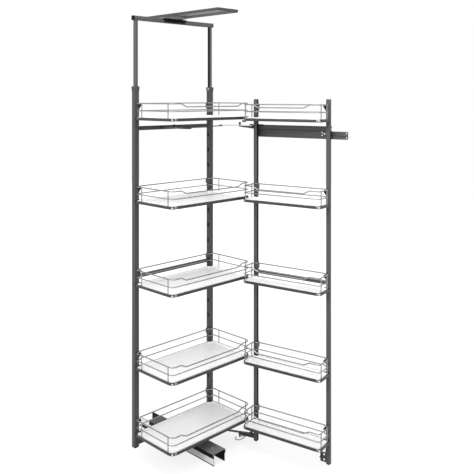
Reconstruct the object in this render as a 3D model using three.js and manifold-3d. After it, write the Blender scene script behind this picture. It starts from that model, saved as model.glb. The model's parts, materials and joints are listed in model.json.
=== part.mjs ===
// Pull-out larder unit: a sliding inner frame with deep baskets, and a swinging door frame with
// shallow ones, joined by two link arms. Millimetres, +Z up. The cabinet floor is z = 0, x = 0 is
// the middle of the inner frame, y = 0 the front face of its posts, and -Y is the way it pulls out.
import * as THREE from 'three';
import { mergeVertices } from 'three/addons/utils/BufferGeometryUtils.js';
import Module from 'manifold-3d';

const wasm = await Module();
wasm.setup();

// ---- driving dimensions ---------------------------------------------------------------------
const GAP = 0.3;                       // clearance between pieces that touch
const SLOT_PITCH = 64;                 // every second hole of the 32 mm furniture grid
const FIRST_SLOT_Z = 81;
const SLOT = { length: 18, count: 21 };
const LEVELS = [87.5, 343.5, 663.5, 983.5, 1303.5];  // undersides of the inner baskets
const DOOR_DROP = 5;                   // the door baskets hang this much lower
const INNER_POST = { size: 20, wall: 1.5, slot: 8, bottom: 46, top: 1431, centre: 196 };
const DOOR_POST = { size: 15, wall: 1.3, slot: 6, bottom: 6, top: 1382, centre: 162 };
const INNER_BASKET = { width: 413, depth: 221, corner: 25, dip: 160, stayInset: 27, hook: 12 };
const DOOR_BASKET = { width: 341, depth: 80.5, corner: 13, dip: 125, stayInset: 16, hook: 20 };
const POST_CHAMFER = 1.2;
const BASKET_TO_POST = 1.5;            // rear of a basket to the front face of the posts
const RIM = { height: 11, wall: 1.3, ledge: 12, floor: 1.5 };
const TRAY = { inset: 5.6, top: 12.5, wall: 1.8 };
const RAIL = { upper: 64.5, lower: 36.5, dip: 11.5, ramp: 25, inset: 3.4, upperRadius: 2.2, radius: 1.8 };
const CORNER_STEPS = 3;
const WIRE_SIDES = 5;

// The door frame's own axes: x runs along its baskets from the link side, y towards the door.
const DOOR_ORIGIN = new THREE.Vector3(139.7, -251.1, 0);
const DOOR_ANGLE = THREE.MathUtils.degToRad(-78.72);
const DOOR_CENTRE = 161;
const DOOR_POST_FRONT = 81;

const RUNNER = { width: 64.6, height: 46, flange: 16, sheet: 2, front: -254, rear: 140 };
const RAIL_BED = { width: 57, wallTop: 40, wall: 1.5, baseFront: -180, rear: 190 };
const TRACK = { width: 108, depth: 9, sheet: 1.5, bottom: 1716, front: -300, rear: 175 };
const YOKE = { leg: 13, legWall: 1.2, legBottom: 1230, barBottom: 1690, barHeight: 17, barDepth: 15 };

const LINK_PIVOT = [-62, -142];        // where the links turn on the inner frame
const DOOR_PIVOT = [212, -219];        // where the door frame turns on the links
const LINK_ELBOW = [150, -105];
const PIN_RADIUS = 4;

// ---- finishes -------------------------------------------------------------------------------
const anthracite = [0x5b5d5f, 0.5, 0.6];
const darkSteel = [0x47494b, 0.5, 0.6];
const chrome = [0xb9bcbe, 0.22, 1.0];
const zinc = [0xb4b7b9, 0.4, 0.85];
const white = [0xf1f1f0, 0.45, 0.0];
const blackPlastic = [0x3a3b3c, 0.6, 0.0];

// ---- solids ---------------------------------------------------------------------------------
/** Turns a closed three.js geometry into a solid that can be joined and cut. */
function solid(geometry) {
  const bare = geometry.clone();
  for (const name of ['normal', 'uv']) bare.deleteAttribute(name);
  const merged = mergeVertices(bare, 1e-4);
  const count = merged.attributes.position.count;
  const index = merged.index ?? { array: Array.from({ length: count }, (_, i) => i) };
  return new wasm.Manifold(new wasm.Mesh({
    numProp: 3,
    vertProperties: Float32Array.from(merged.attributes.position.array),
    triVerts: Uint32Array.from(index.array),
  }));
}

/** Gives a solid back as a three.js geometry. */
function geometryOf(body) {
  const { vertProperties, triVerts } = body.getMesh();
  const geometry = new THREE.BufferGeometry();
  geometry.setAttribute('position', new THREE.BufferAttribute(new Float32Array(vertProperties), 3));
  geometry.setIndex(new THREE.BufferAttribute(new Uint32Array(triVerts), 1));
  geometry.computeVertexNormals();
  return geometry;
}

const join = (...bodies) => bodies.reduce((whole, next) => whole.add(next));
const cut = (body, ...tools) => tools.reduce((whole, next) => whole.subtract(next), body);

/** A block given by its lowest and highest corners. */
function block(x0, x1, y0, y1, z0, z1) {
  const box = new THREE.BoxGeometry(x1 - x0, y1 - y0, z1 - z0);
  return solid(box.translate((x0 + x1) / 2, (y0 + y1) / 2, (z0 + z1) / 2));
}

/** An upright round bar or hole. */
function rod(x, y, z0, z1, radius, sides = 12) {
  const bar = new THREE.CylinderGeometry(radius, radius, z1 - z0, sides);
  return solid(bar.rotateX(Math.PI / 2).translate(x, y, (z0 + z1) / 2));
}

/** A flat plan outline raised from z0 to z1. */
function raised(shape, z0, z1, curveSegments = 4) {
  const options = { depth: z1 - z0, bevelEnabled: false, curveSegments };
  return solid(new THREE.ExtrudeGeometry(shape, options).translate(0, 0, z0));
}

/** A profile in the (y, z) plane carried along x from x0 to x1. */
function carriedAlongX(points, x0, x1) {
  const shape = new THREE.Shape(points.map(([y, z]) => new THREE.Vector2(y, z)));
  const bar = new THREE.ExtrudeGeometry(shape, { depth: x1 - x0, bevelEnabled: false });
  const axes = new THREE.Matrix4().set(0, 0, 1, x0, 1, 0, 0, 0, 0, 1, 0, 0, 0, 0, 0, 1);
  return solid(bar.applyMatrix4(axes));
}

/** A profile in the (x, z) plane carried along y from y0 to y1. */
function carriedAlongY(points, y0, y1) {
  const shape = new THREE.Shape(points.map(([x, z]) => new THREE.Vector2(x, z)));
  const bar = new THREE.ExtrudeGeometry(shape, { depth: y1 - y0, bevelEnabled: false });
  const axes = new THREE.Matrix4().set(1, 0, 0, 0, 0, 0, -1, y1, 0, 1, 0, 0, 0, 0, 0, 1);
  return solid(bar.applyMatrix4(axes));
}

/** The plan points of a rectangle with round corners, its rear edge on y = -inset. */
function roundedPlan(width, depth, corner, inset = 0) {
  const halfWidth = width / 2 - inset;
  const radius = corner - inset;
  const centres = [
    [halfWidth - radius, -inset - radius, 0],
    [radius - halfWidth, -inset - radius, 90],
    [radius - halfWidth, inset + radius - depth, 180],
    [halfWidth - radius, inset + radius - depth, 270],
  ];
  const points = [];
  for (const [x, y, start] of centres) {
    for (let step = 0; step <= CORNER_STEPS; step++) {
      const angle = THREE.MathUtils.degToRad(start + (90 * step) / CORNER_STEPS);
      points.push(new THREE.Vector2(x + radius * Math.cos(angle), y + radius * Math.sin(angle)));
    }
  }
  return points;
}

/** A closed route with straight sides, one step from each point to the next. */
class Loop extends THREE.Curve {
  constructor(points) {
    super();
    this.points = points;
  }

  getPoint(t) {
    const count = this.points.length;
    const at = (((t % 1) + 1) % 1) * count;
    const from = Math.floor(at + 1e-9) % count;
    return this.points[from].clone().lerp(this.points[(from + 1) % count], Math.max(at % 1, 0));
  }

  getPointAt(t) {
    return this.getPoint(t);
  }

  getTangentAt(t) {
    const half = 0.5 / this.points.length;
    return this.getPoint(t + half).sub(this.getPoint(t - half)).normalize();
  }
}

/** A closed hoop of wire through the points. */
function hoop(points, radius) {
  return solid(new THREE.TubeGeometry(new Loop(points), points.length, radius, WIRE_SIDES, true));
}

// ---- baskets --------------------------------------------------------------------------------
/** The dark carrier: a ring with a ledge for the tray, and two hooks that hang in the posts. */
function basketRim(basket, post, postCentre, drop) {
  const outline = (inset) => new THREE.Shape(roundedPlan(basket.width, basket.depth, basket.corner, inset));
  const opening = basket.width / 2 - RIM.ledge;
  const ring = cut(
    raised(outline(0), 0, RIM.height),
    raised(outline(RIM.wall), RIM.floor, RIM.height + 1),
    block(-opening, opening, RIM.ledge - basket.depth, -RIM.ledge, -1, RIM.height + 1),
  );
  const inner = postCentre - post.size / 2 - GAP;
  const slotY = BASKET_TO_POST + post.size / 2;
  const [front, back, rear] = [5, slotY + 3, BASKET_TO_POST + post.size + 3.4];
  const hookOutline = [
    [-0.6, 0], [back, 0], [back, 41], [rear, 43], [rear, 62], [back, 70.5], [front, 70.5], [front, 61.7],
    [-basket.hook, 61.7], [-basket.hook, 59.5], [front, 41], [front, 14], [-0.6, RIM.height],
  ];
  const tongueZ = FIRST_SLOT_Z + SLOT_PITCH - LEVELS[0] + drop;
  const hooks = [-1, 1].map((side) => {
    const outside = side * inner;
    const inside = side * (inner - 2);
    const plate = carriedAlongX(hookOutline, Math.min(outside, inside), Math.max(outside, inside));
    const tip = side * (inner + GAP + post.wall + 1);
    const tongue = block(
      Math.min(inside, tip), Math.max(inside, tip), slotY - 1.6, slotY + 1.6, tongueZ - 5, tongueZ + 5);
    return join(plate, tongue);
  });
  return join(ring, ...hooks);
}

/** The white tray that drops into the rim. */
function basketTray(basket) {
  const outline = (inset) => new THREE.Shape(roundedPlan(basket.width, basket.depth, basket.corner, inset));
  const bottom = RIM.floor + GAP;
  return cut(
    raised(outline(TRAY.inset), bottom, TRAY.top),
    raised(outline(TRAY.inset + TRAY.wall), bottom + TRAY.wall, TRAY.top + 1),
  );
}

/** The wire gallery: two rails on four stays, the upper one dipped along the front. */
function basketGallery(basket) {
  const plan = roundedPlan(basket.width, basket.depth, basket.corner, RAIL.inset);
  const lower = plan.map((p) => new THREE.Vector3(p.x, p.y, RAIL.lower));
  const upper = plan.map((p) => new THREE.Vector3(p.x, p.y, RAIL.upper));
  const front = RAIL.inset - basket.depth;
  const dipped = [
    [-basket.dip, RAIL.upper], [RAIL.ramp - basket.dip, RAIL.upper - RAIL.dip],
    [basket.dip - RAIL.ramp, RAIL.upper - RAIL.dip], [basket.dip, RAIL.upper],
  ].map(([x, z]) => new THREE.Vector3(x, front, z));
  const frontLeftEnd = 3 * (CORNER_STEPS + 1);
  upper.splice(frontLeftEnd, 0, ...dipped);
  const side = basket.width / 2 - RAIL.inset;
  const stays = [];
  for (const x of [-side, side]) {
    for (const y of [-basket.stayInset, basket.stayInset - basket.depth]) {
      stays.push(rod(x, y, RIM.floor + GAP, RAIL.upper, RAIL.radius - 0.1, 4));
    }
  }
  return join(hoop(upper, RAIL.upperRadius), hoop(lower, RAIL.radius), ...stays);
}

// ---- frames ---------------------------------------------------------------------------------
/** A square tube with a column of hanging slots in the face that looks along `side`. */
function slottedPost(post, side, depth = post.size) {
  const half = post.size / 2;
  const inside = half - post.wall;
  const edge = half - POST_CHAMFER;
  const section = new THREE.Shape([
    [-edge, 0], [edge, 0], [half, POST_CHAMFER], [half, depth - POST_CHAMFER], [edge, depth],
    [-edge, depth], [-half, depth - POST_CHAMFER], [-half, POST_CHAMFER],
  ].map(([x, y]) => new THREE.Vector2(x, y)));
  const tube = cut(
    raised(section, post.bottom, post.top),
    block(-inside, inside, post.wall, depth - post.wall, post.bottom - 1, post.top + 1),
  );
  const y = depth / 2;
  const near = side > 0 ? inside - 0.5 : -half - 1;
  const slots = Array.from({ length: SLOT.count }, (_, i) => {
    const z = FIRST_SLOT_Z + i * SLOT_PITCH;
    const [low, high] = [z - SLOT.length / 2, z + SLOT.length / 2];
    return block(near, near + post.wall + 1.5, y - post.slot / 2, y + post.slot / 2, low, high);
  });
  return cut(tube, ...slots);
}

/** A plug with a chamfered sole under a post, and a shank inside its tube. */
function postFoot(post, drop) {
  const half = post.size / 2;
  const shank = half - post.wall - GAP;
  const top = post.bottom - GAP;
  const bottom = post.bottom - drop;
  const sole = carriedAlongY([
    [-half, top], [-half, bottom + 2], [2 - half, bottom], [half - 2, bottom],
    [half, bottom + 2], [half, top],
  ], 0, post.size);
  return join(sole, block(-shank, shank, half - shank, half + shank, top - 1, top + 16));
}

/** The tapered clamp collar that closes a post round the telescopic leg. */
function collar() {
  const bottom = INNER_POST.top - 14;
  const profile = new THREE.Shape([
    new THREE.Vector2(-INNER_POST.size / 2 - 1.2, bottom),
    new THREE.Vector2(INNER_POST.size / 2 + 1.2, bottom),
    new THREE.Vector2(INNER_POST.size / 2 + 2.2, INNER_POST.top + 3.5),
    new THREE.Vector2(-INNER_POST.size / 2 - 2.2, INNER_POST.top + 3.5),
  ]);
  const half = INNER_POST.size / 2;
  const options = { depth: INNER_POST.size + 4.4, bevelEnabled: false };
  const cap = new THREE.ExtrudeGeometry(profile, options).rotateX(Math.PI / 2);
  const body = solid(cap.translate(0, INNER_POST.size + 2.2, 0));
  const leg = YOKE.leg / 2 + GAP;
  return cut(
    body,
    block(-half - GAP, half + GAP, -GAP, INNER_POST.size + GAP, bottom - 1, INNER_POST.top + GAP),
    block(-leg, leg, half - leg, half + leg, bottom, INNER_POST.top + 10),
  );
}

/** One telescopic leg of the yoke, a channel that opens towards the middle; sign is its side. */
function yokeLeg(sign) {
  const half = YOKE.leg / 2;
  const middle = INNER_POST.size / 2;
  const top = YOKE.barBottom - GAP;
  const [web, mouth] = [sign * (half - YOKE.legWall), -sign * (half + 1)];
  return cut(
    block(-half, half, middle - half, middle + half, YOKE.legBottom, top),
    block(Math.min(web, mouth), Math.max(web, mouth), middle - half + YOKE.legWall,
      middle + half - YOKE.legWall, YOKE.legBottom - 1, top + 1),
  );
}

/** The bar across the top of the yoke: a channel, open downwards. */
function yokeBar() {
  const halfLength = INNER_POST.centre + 14.5;
  const middle = INNER_POST.size / 2;
  const half = YOKE.barDepth / 2;
  const top = YOKE.barBottom + YOKE.barHeight;
  const channel = [
    [middle - half, YOKE.barBottom], [middle - half + 1.8, YOKE.barBottom],
    [middle - half + 1.8, top - 1.8], [middle + half - 1.8, top - 1.8],
    [middle + half - 1.8, YOKE.barBottom], [middle + half, YOKE.barBottom],
    [middle + half, top], [middle - half, top],
  ];
  const web = block(1 - halfLength, halfLength - 1, middle - half, middle + half,
    YOKE.barBottom, YOKE.barBottom + 1.8);
  const opening = block(40 - halfLength, halfLength - 40, middle - half + 1.7, middle + half - 1.7,
    YOKE.barBottom - 1, YOKE.barBottom + 3);
  return cut(join(carriedAlongX(channel, -halfLength, halfLength), web), opening);
}

/** The glide block on the bar that runs in the ceiling track. */
function topCarriage() {
  const base = YOKE.barBottom + YOKE.barHeight + GAP;
  const under = TRACK.bottom + TRACK.depth - TRACK.sheet - GAP;
  const middle = INNER_POST.size / 2;
  const halfTrack = TRACK.width / 2 - TRACK.sheet - 1;
  return join(
    block(-40, 40, middle - 9, middle + 9, base, base + 5),
    block(-halfTrack, halfTrack, middle - 16, middle + 16, base + 4.5, under - 2),
    block(-halfTrack + 6, halfTrack - 6, middle - 12, middle + 12, under - 3, under),
  );
}

/** The ceiling track: a shallow channel with its front end closed. */
function topTrack() {
  const half = TRACK.width / 2;
  const top = TRACK.bottom + TRACK.depth;
  return cut(
    block(-half, half, TRACK.front, TRACK.rear, TRACK.bottom, top),
    block(TRACK.sheet - half, half - TRACK.sheet, TRACK.front + TRACK.sheet, TRACK.rear + 1,
      TRACK.bottom - 1, top - TRACK.sheet),
  );
}

/** A cross member of the inner frame: a folded channel, open to the back. */
function innerCrossbar(z0, z1) {
  const half = INNER_POST.centre - INNER_POST.size / 2 - GAP;
  const channel = [
    [0.2, z0], [14, z0], [14, z0 + 1.8], [2, z0 + 1.8], [2, z1 - 1.8], [14, z1 - 1.8], [14, z1], [0.2, z1],
  ];
  return carriedAlongX(channel, -half, half);
}

// ---- floor runner ---------------------------------------------------------------------------
/** The sliding cover: an inverted channel with short flanges. */
function runnerCover() {
  const half = RUNNER.width / 2;
  const inner = half - RUNNER.sheet;
  const low = RUNNER.height - RUNNER.flange;
  return carriedAlongY([
    [-half, low], [-inner, low], [-inner, RUNNER.height - RUNNER.sheet],
    [inner, RUNNER.height - RUNNER.sheet], [inner, low], [half, low],
    [half, RUNNER.height], [-half, RUNNER.height],
  ], RUNNER.front, RUNNER.rear);
}

/** The fixed rail on the cabinet floor: two walls, and a base that stops short of the front. */
function runnerRail() {
  const half = RAIL_BED.width / 2;
  const channel = block(-half, half, RUNNER.front, RAIL_BED.rear, 0, RAIL_BED.wallTop);
  const trough = block(
    RAIL_BED.wall - half, half - RAIL_BED.wall, RUNNER.front - 1, RAIL_BED.rear + 1, 2, RAIL_BED.wallTop + 1);
  const openFront = block(
    RAIL_BED.wall - half, half - RAIL_BED.wall, RUNNER.front - 1, RAIL_BED.baseFront, -1, 3);
  const screws = [-140, -20, 150].map((y) => rod(0, y, -1, 4, 3, 10));
  return cut(channel, trough, openFront, ...screws);
}

/** A nylon cap on the top edge of one rail wall, on which the cover glides. */
function railGlide(side) {
  const wallMiddle = side * (RAIL_BED.width / 2 - RAIL_BED.wall / 2);
  const y0 = RUNNER.front + 4;
  const top = RUNNER.height - RUNNER.sheet - GAP;
  const body = block(wallMiddle - 2.1, wallMiddle + 2.1, y0, y0 + 190, RAIL_BED.wallTop - 8, top);
  const groove = RAIL_BED.wall / 2 + GAP;
  return cut(body, block(
    wallMiddle - groove, wallMiddle + groove, y0 - 1, y0 + 191, RAIL_BED.wallTop - 9, RAIL_BED.wallTop + GAP));
}

/** The plate on the cover: an upstand for the lower cross member, and the lower link's pivot. */
function carriagePlate() {
  const z = RUNNER.height + GAP;
  return join(
    block(-28, 28, LINK_PIVOT[1] - 12, 60, z, z + 3),
    block(-28, 28, -1.9, -0.1, z + 2, 84),
    raised(strap(LINK_PIVOT, [0, LINK_PIVOT[1] + 5], 30), z, z + 3),
    pivotPin(LINK_PIVOT, z + 2, z + 11),
  );
}

// ---- links ----------------------------------------------------------------------------------
/** A plan strip round two points, with round ends; it can end wider than it starts. */
function strap([x0, y0], [x1, y1], width, endWidth = width) {
  const angle = Math.atan2(y1 - y0, x1 - x0);
  const shape = new THREE.Shape();
  shape.absarc(x1, y1, endWidth / 2, angle - Math.PI / 2, angle + Math.PI / 2);
  shape.absarc(x0, y0, width / 2, angle + Math.PI / 2, angle + 1.5 * Math.PI);
  return shape;
}

/** A cranked link arm, low along the strap by the door and stepped up to the frame's pivot. */
function linkArm(strapZ, armZ) {
  const thick = 3;
  const [low, high] = [Math.min(strapZ, armZ), Math.max(strapZ, armZ) + thick];
  const hole = PIN_RADIUS + GAP;
  return cut(
    join(
      raised(strap(DOOR_PIVOT, LINK_ELBOW, 12), strapZ, strapZ + thick),
      rod(...DOOR_PIVOT, strapZ, strapZ + thick, 8),
      raised(strap(LINK_ELBOW, LINK_PIVOT, 16, 22), armZ, armZ + thick),
      rod(...LINK_ELBOW, low + 1, high - 1, 6.5),
    ),
    rod(...DOOR_PIVOT, low - 1, high + 1, hole),
    rod(...LINK_PIVOT, low - 1, high + 1, hole),
  );
}

/** A headed pivot pin between z0 and z1, its head above. */
const pivotPin = ([x, y], z0, z1) => join(
  rod(x, y, z0, z1, PIN_RADIUS), rod(x, y, z1 - 2.5, z1, PIN_RADIUS + 3));

/** The plate under the upper cross member that carries the upper link's pivot. */
function upperLinkSeat(z) {
  return join(
    raised(strap(LINK_PIVOT, [LINK_PIVOT[0], -16], 30), z, z + 3),
    block(LINK_PIVOT[0] - 15, LINK_PIVOT[0] + 15, -1.9, -0.1, z - 5, z + 9),
    pivotPin(LINK_PIVOT, z + 2, z + 11),
  );
}

// ---- door frame -----------------------------------------------------------------------------
const doorPivotLocal = new THREE.Vector3(...DOOR_PIVOT, 0).sub(DOOR_ORIGIN)
  .applyAxisAngle(new THREE.Vector3(0, 0, 1), -DOOR_ANGLE);
const LEFT_POST = DOOR_CENTRE - DOOR_POST.centre;
const RIGHT_POST = DOOR_CENTRE + DOOR_POST.centre;
const DOOR_BACK = DOOR_POST_FRONT + DOOR_POST.size;

/** The tapered arm at the link side, with the pivot tab, and the guide pin at its tip. */
function doorArm({ rootLow, rootHigh, tipLow, tipHigh, tabZ, pinTop, guideLow, guideHigh }) {
  const side = LEFT_POST - DOOR_POST.size / 2 - GAP;
  const root = [side - 1.5, DOOR_POST_FRONT + 7.5];
  const tip = [-69, 71.6];
  const run = new THREE.Vector2(tip[0] - root[0], tip[1] - root[1]);
  const outline = new THREE.Shape([
    new THREE.Vector2(0, rootLow), new THREE.Vector2(0, rootHigh),
    new THREE.Vector2(run.length(), tipHigh), new THREE.Vector2(run.length(), tipLow),
  ]);
  const web = new THREE.ExtrudeGeometry(outline, { depth: 3, bevelEnabled: false });
  web.rotateX(Math.PI / 2).rotateZ(run.angle()).translate(root[0], root[1], 0);
  const { x, y } = doorPivotLocal;
  return join(
    solid(web),
    block(side - 2.5, side, DOOR_POST_FRONT + 4, DOOR_BACK, rootLow, rootHigh),
    raised(strap([x, y], [x - 2, DOOR_POST_FRONT + 2], 16), tabZ, tabZ + 3),
    pivotPin([x, y], tabZ + 2, pinTop),
    rod(...tip, guideLow, guideHigh, 3.5, 10),
  );
}

/** The door plate: its rib is fixed to the posts, and its web and tongue lie on the door. */
function doorCrossbar() {
  const rib = DOOR_BACK + GAP;
  const door = rib + 7;
  const [low, fold, high] = [1232, 1262, 1281];
  const profile = [
    [door - 2, low], [door, low], [door, fold], [rib + 2, fold + 4], [rib + 2, high - 8],
    [door, high - 4], [door, high], [door - 2, high], [door - 2, high - 3.2], [rib, high - 7.2],
    [rib, fold + 3.2], [door - 2, fold - 0.8],
  ];
  const end = 397;
  const ribbed = carriedAlongX(profile, LEFT_POST - 11, RIGHT_POST + 7);
  const tongue = block(RIGHT_POST + 6, end, door - 2, door, low, fold - 0.8);
  const hole = (x, z, radius = 2.6) => {
    const drill = new THREE.CylinderGeometry(radius, radius, 8, 10);
    return solid(drill.translate(x, door - 1, z));
  };
  return cut(
    join(ribbed, tongue),
    hole(end - 7, low + 7), hole(end - 7, fold - 7),
    hole(289, low + 14), hole(289, fold - 5), hole(299, low + 20, 3.2),
  );
}

/** The drilled bracket on the right post's foot. */
function doorFootBracket() {
  const side = RIGHT_POST - DOOR_POST.size / 2 - GAP;
  const y = DOOR_POST_FRONT;
  const plate = join(
    block(side - 2, side, y, DOOR_BACK, 8, 60),
    block(side - 24, side - 1, y, y + 2, 8, 45),
  );
  const hole = (z) => solid(new THREE.CylinderGeometry(4.2, 4.2, 12, 14).translate(side - 13, y, z));
  const peg = new THREE.CylinderGeometry(2.4, 2.4, 9, 10).translate(side - 21, y - 4, 27);
  return join(cut(plate, hole(18), hole(37)), solid(peg));
}

/** The bent wire catch under the arm's tip. */
function catchWire() {
  const route = new THREE.CatmullRomCurve3([
    new THREE.Vector3(-62, 63, 9), new THREE.Vector3(-56, 58, 9), new THREE.Vector3(-50, 42, 9),
    new THREE.Vector3(-58, 34, 9), new THREE.Vector3(-72, 38, 9), new THREE.Vector3(-80, 52, 9),
  ]);
  const shape = new THREE.Shape();
  shape.absarc(0, 0, 1.5, 0, 2 * Math.PI);
  const options = { steps: 12, extrudePath: route, curveSegments: 3, bevelEnabled: false };
  return solid(new THREE.ExtrudeGeometry(shape, options));
}

// ---- assembly -------------------------------------------------------------------------------
const unit = new THREE.Group();

/** Adds one named piece to a group. */
function piece(group, name, body, [color, roughness, metalness], x = 0, y = 0, z = 0) {
  const material = new THREE.MeshStandardMaterial({ color, roughness, metalness });
  const mesh = new THREE.Mesh(geometryOf(body), material);
  mesh.name = name;
  mesh.position.set(x, y, z);
  group.add(mesh);
}

/** Adds the five baskets of one frame, numbered from the bottom. */
function addBaskets(group, prefix, basket, post, postCentre, x, y, drop) {
  const rim = basketRim(basket, post, postCentre, drop);
  const tray = basketTray(basket);
  const gallery = basketGallery(basket);
  LEVELS.forEach((level, i) => {
    piece(group, `${prefix}_rim_${i + 1}`, rim, darkSteel, x, y, level - drop);
    piece(group, `${prefix}_tray_${i + 1}`, tray, white, x, y, level - drop);
    piece(group, `${prefix}_gallery_${i + 1}`, gallery, chrome, x, y, level - drop);
  });
}

function addInnerFrame(group) {
  addBaskets(group, 'inner', INNER_BASKET, INNER_POST, INNER_POST.centre, 0, -BASKET_TO_POST, 0);
  for (const [side, sign] of [['left', -1], ['right', 1]]) {
    const x = sign * INNER_POST.centre;
    piece(group, `inner_post_${side}`, slottedPost(INNER_POST, -sign), anthracite, x);
    piece(group, `inner_foot_${side}`, postFoot(INNER_POST, 6), blackPlastic, x);
    piece(group, `collar_${side}`, collar(), blackPlastic, x);
    piece(group, `yoke_leg_${side}`, yokeLeg(sign), anthracite, x);
  }
  piece(group, 'inner_crossbar_lower', innerCrossbar(56, 86), anthracite);
  piece(group, 'inner_crossbar_upper', innerCrossbar(1264, 1280), anthracite);
  piece(group, 'yoke_bar', yokeBar(), anthracite);
  piece(group, 'top_carriage', topCarriage(), blackPlastic);
  piece(group, 'top_track', topTrack(), anthracite);
}

function addRunner(group) {
  piece(group, 'runner_rail', runnerRail(), zinc);
  piece(group, 'runner_cover', runnerCover(), anthracite);
  piece(group, 'glide_left', railGlide(-1), blackPlastic);
  piece(group, 'glide_right', railGlide(1), blackPlastic);
  piece(group, 'carriage_plate', carriagePlate(), anthracite);
}

function addLinks(group) {
  const upperSeat = 1270;
  piece(group, 'link_seat_upper', upperLinkSeat(upperSeat), anthracite);
  piece(group, 'link_lower', linkArm(28, RUNNER.height + 4.3), darkSteel);
  piece(group, 'link_upper', linkArm(upperSeat + 6, upperSeat + 3.6), zinc);
}

function addDoorFrame(group) {
  addBaskets(group, 'door', DOOR_BASKET, DOOR_POST, DOOR_POST.centre,
    DOOR_CENTRE, DOOR_POST_FRONT - BASKET_TO_POST, DOOR_DROP);
  for (const [side, x, sign] of [['left', LEFT_POST, 1], ['right', RIGHT_POST, -1]]) {
    piece(group, `door_post_${side}`, slottedPost(DOOR_POST, sign), anthracite, x, DOOR_POST_FRONT);
    piece(group, `door_foot_${side}`, postFoot(DOOR_POST, 5), blackPlastic, x, DOOR_POST_FRONT);
  }
  piece(group, 'door_crossbar', doorCrossbar(), anthracite);
  piece(group, 'door_foot_bracket', doorFootBracket(), darkSteel);
  piece(group, 'door_arm_lower', doorArm({
    rootLow: 7, rootHigh: 27, tipLow: 13, tipHigh: 20, tabZ: 24.4, pinTop: 36, guideLow: 4, guideHigh: 20,
  }), darkSteel);
  piece(group, 'door_arm_upper', doorArm({
    rootLow: 1264, rootHigh: 1281, tipLow: 1272, tipHigh: 1275, tabZ: 1272.4, pinTop: 1284,
    guideLow: 1272, guideHigh: 1290,
  }), darkSteel);
  piece(group, 'catch_wire', catchWire(), zinc);
}

const innerFrame = new THREE.Group();
const doorFrame = new THREE.Group();
doorFrame.position.copy(DOOR_ORIGIN);
doorFrame.rotation.z = DOOR_ANGLE;
unit.add(innerFrame, doorFrame);
addInnerFrame(innerFrame);
addRunner(innerFrame);
addLinks(innerFrame);
addDoorFrame(doorFrame);

export default unit;
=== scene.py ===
# %% [markdown]
# # A pull-out larder unit
# This unit fills a tall kitchen cabinet. An inner frame with five deep baskets runs out on a floor
# runner, and a second frame with five shallow baskets swings with the cabinet door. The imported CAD
# model already holds every piece at its real size and carries the joints, so this script only adds
# what the eye looks for: rolled edges, round wire, punched slots, screws and finishes.

import json
import math
from types import SimpleNamespace

import bmesh
import bpy
import numpy as np
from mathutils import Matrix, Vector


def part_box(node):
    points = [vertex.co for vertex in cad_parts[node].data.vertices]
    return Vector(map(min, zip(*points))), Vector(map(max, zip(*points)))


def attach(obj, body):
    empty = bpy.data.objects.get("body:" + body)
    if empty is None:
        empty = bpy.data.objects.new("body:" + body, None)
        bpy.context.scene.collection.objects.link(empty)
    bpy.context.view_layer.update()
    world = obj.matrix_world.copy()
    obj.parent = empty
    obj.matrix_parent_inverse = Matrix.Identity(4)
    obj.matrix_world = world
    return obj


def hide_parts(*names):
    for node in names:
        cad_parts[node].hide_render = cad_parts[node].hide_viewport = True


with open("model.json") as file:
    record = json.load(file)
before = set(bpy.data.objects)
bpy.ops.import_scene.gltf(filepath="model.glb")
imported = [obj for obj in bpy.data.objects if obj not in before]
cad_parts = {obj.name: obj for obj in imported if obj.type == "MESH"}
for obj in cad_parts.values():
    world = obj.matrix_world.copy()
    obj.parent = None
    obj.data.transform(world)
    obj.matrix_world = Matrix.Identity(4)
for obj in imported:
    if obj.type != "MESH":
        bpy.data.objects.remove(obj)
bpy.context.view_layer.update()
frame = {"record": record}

# %% [markdown]
# ## Two sets of axes
# The inner frame lies on the model's own axes. The door frame stands turned by the open door, so its
# pieces are easier to think of along the door: x runs away from the links, y towards the door. A
# place is then one turn and one shift. Shapes are written in millimetres and become metres only when
# a mesh is made.

# %% The places
MM = 0.001


class Place:
    """A turn about the vertical and a shift: (x, y) becomes origin + x·along + y·across."""

    def __init__(self, origin=(0.0, 0.0), degrees=0.0):
        turn = math.radians(degrees)
        along = (math.cos(turn), math.sin(turn), 0.0)
        across = (-math.sin(turn), math.cos(turn), 0.0)
        self.rows = np.array([along, across, (0.0, 0.0, 1.0)])
        self.origin = np.array([origin[0], origin[1], 0.0])

    def world(self, points):
        return (points @ self.rows + self.origin) * MM


INNER = Place()
DOOR = Place(origin=(139.7, -251.1), degrees=-78.72)
print("door frame's corner in the model:", DOOR.world(np.zeros((1, 3)))[0].round(4))

# %% [markdown]
# ## Round bends
# Wire and folded sheet never turn a sharp corner. One formula serves both: at each corner the
# straight runs stop r·tan(turn / 2) short, and the arc between them swings the unit vector u, from
# the bend's centre to its start, into v, to its end. The blend
# (sin((1 - s)·turn)·u + sin(s·turn)·v) / sin(turn) keeps the length one, so this is a true arc.


# %% Corners to round bends
def unit(vectors):
    return vectors / np.linalg.norm(vectors, axis=-1, keepdims=True)


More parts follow.
